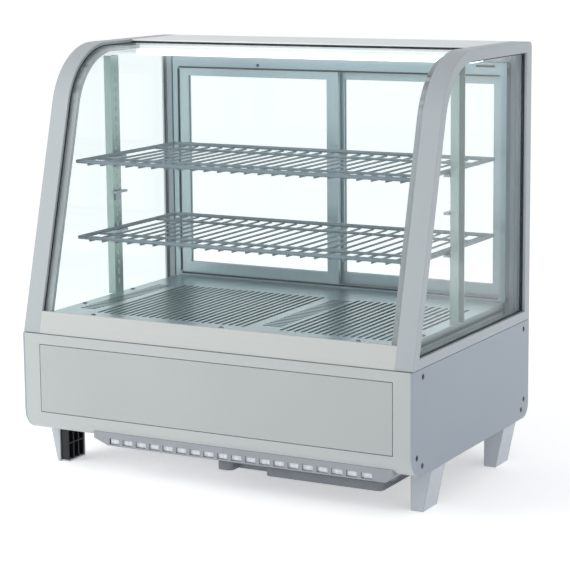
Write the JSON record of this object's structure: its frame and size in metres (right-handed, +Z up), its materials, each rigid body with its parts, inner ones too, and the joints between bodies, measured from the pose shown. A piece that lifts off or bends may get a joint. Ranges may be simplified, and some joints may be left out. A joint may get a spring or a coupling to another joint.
{
  "type": "glass door merchandiser",
  "caption": "Countertop chilled display case with a curved double-glazed front, glass sides, wire shelves, slotted deck and sliding glass doors at the rear.",
  "frame": {"origin": "on the floor, under the middle of the case", "axes": "+X along the front towards the customer's right, +Y from the front to the rear doors, +Z up"},
  "size_m": [0.682, 0.45, 0.675],
  "materials": {
    "silver_paint": "satin silver-grey powder coat",
    "panel_paint": "satin silver-grey powder coat",
    "side_paint": "satin silver-grey powder coat",
    "frame_paint": "satin silver-grey coated frame",
    "white_top": "satin white powder coat",
    "sill_alloy": "satin anodised",
    "door_alloy": "satin anodised",
    "track_alloy": "satin anodised",
    "pilaster_steel": "brushed stainless",
    "clip_steel": "bent stainless",
    "shelf_wire": "grey coated wire",
    "deck_steel": "brushed stainless",
    "tank_liner": "moulded liner round foam",
    "chassis_steel": "plain grey coat",
    "clear_glass": "clear tempered glass",
    "spacer_bar": "matt grey spacer bar",
    "edge_bar": "satin silver spacer bar",
    "black_seal": "matt",
    "lamp_white": "satin white",
    "led_glow": "lit strip",
    "lamp_lens": "frosted",
    "foot_grey": "satin moulded grey",
    "rib_black": "matt black",
    "grille_grey": "satin moulded grey",
    "pan_grey": "satin moulded dark grey",
    "screw_black": "black oxide",
    "screw_bright": "bright steel",
    "coil_fins": "finned block",
    "fan_black": "matt",
    "motor_steel": "grey coat",
    "compressor_black": "black coat",
    "copper_tube": "drawn copper tube",
    "control_face": "satin dark grey",
    "knob_black": "satin black",
    "switch_red": "gloss",
    "switch_green": "gloss",
    "gland_black": "matt"
  },
  "bodies": {
    "cabinet": {"base_chassis": "chassis_steel", "front_fascia": "silver_paint", "front_panel": "panel_paint", "left_side_panel": "side_paint", "right_side_panel": "side_paint", "casing_screws": "screw_black", "rear_panel": "panel_paint", "air_intake_grille": "grille_grey", "front_left_foot": "foot_grey", "front_right_foot": "foot_grey", "rear_left_foot": "foot_grey", "rear_right_foot": "foot_grey", "foot_rib_inserts": "rib_black", "right_side_frame": "frame_paint", "left_side_frame": "frame_paint", "right_outer_glass": "clear_glass", "left_outer_glass": "clear_glass", "right_inner_glass": "clear_glass", "left_inner_glass": "clear_glass", "side_glass_spacers": "spacer_bar", "front_outer_glass": "clear_glass", "front_inner_glass": "clear_glass", "front_glass_spacers": "edge_bar", "front_sill": "sill_alloy", "top_panel": "white_top", "top_gasket": "black_seal", "lamp_housing": "lamp_white", "led_strip": "led_glow", "lamp_diffuser": "lamp_lens", "bottom_door_track": "track_alloy", "top_door_track": "track_alloy", "right_door_jamb": "track_alloy", "left_door_jamb": "track_alloy", "right_pilaster": "pilaster_steel", "left_pilaster": "pilaster_steel", "shelf_clips": "clip_steel", "deck_plate": "deck_steel", "deck_screws": "screw_bright", "insulated_tank": "tank_liner", "evaporator_coil": "coil_fins", "evaporator_fan_frame": "fan_black", "condenser_coil": "coil_fins", "condenser_fan_shroud": "chassis_steel", "condenser_fan_motor": "motor_steel", "compressor": "compressor_black", "refrigerant_pipes": "copper_tube", "control_panel": "control_face", "cable_gland": "gland_black"},
    "left_door": {"left_door_frame": "door_alloy", "left_door_glass": "clear_glass"},
    "right_door": {"right_door_frame": "door_alloy", "right_door_glass": "clear_glass"},
    "upper_shelf": {"upper_shelf": "shelf_wire"},
    "lower_shelf": {"lower_shelf": "shelf_wire"},
    "drain_pan": {"drain_pan": "pan_grey"},
    "condenser_fan": {"condenser_fan_blade": "fan_black"},
    "evaporator_fan": {"evaporator_fan_blade": "fan_black"},
    "thermostat": {"thermostat_knob": "knob_black"},
    "power_rocker": {"power_switch": "switch_red"},
    "light_rocker": {"light_switch": "switch_green"}
  },
  "joints": [
    {"name": "left_door_slide", "type": "slide", "parent": "cabinet", "child": "left_door", "axis": [1, 0, 0], "range_m": [0, 0.298]},
    {"name": "right_door_slide", "type": "slide", "parent": "cabinet", "child": "right_door", "axis": [1, 0, 0], "range_m": [-0.298, 0]},
    {"name": "upper_shelf_lift", "type": "slide", "parent": "cabinet", "child": "upper_shelf", "axis": [0, 0, 1], "range_m": [0, 0.025]},
    {"name": "lower_shelf_lift", "type": "slide", "parent": "cabinet", "child": "lower_shelf", "axis": [0, 0, 1], "range_m": [0, 0.025]},
    {"name": "drain_pan_slide", "type": "slide", "parent": "cabinet", "child": "drain_pan", "axis": [0, -1, 0], "range_m": [0, 0.13]},
    {"name": "condenser_fan_spin", "type": "hinge", "parent": "cabinet", "child": "condenser_fan", "pos_m": [0.211, -0.14, 0.1305], "axis": [0, 1, 0], "continuous": true},
    {"name": "evaporator_fan_spin", "type": "hinge", "parent": "cabinet", "child": "evaporator_fan", "pos_m": [-0.18, 0.04, 0.173], "axis": [0, 1, 0], "continuous": true},
    {"name": "thermostat_turn", "type": "hinge", "parent": "cabinet", "child": "thermostat", "pos_m": [0.092, 0.214, 0.155], "axis": [0, 1, 0], "range_deg": [0, 270]},
    {"name": "power_rock", "type": "hinge", "parent": "cabinet", "child": "power_rocker", "pos_m": [0.138, 0.214, 0.155], "axis": [-1, 0, 0], "range_deg": [0, 12]},
    {"name": "light_rock", "type": "hinge", "parent": "cabinet", "child": "light_rocker", "pos_m": [0.172, 0.214, 0.155], "axis": [-1, 0, 0], "range_deg": [0, 12]}
  ]
}
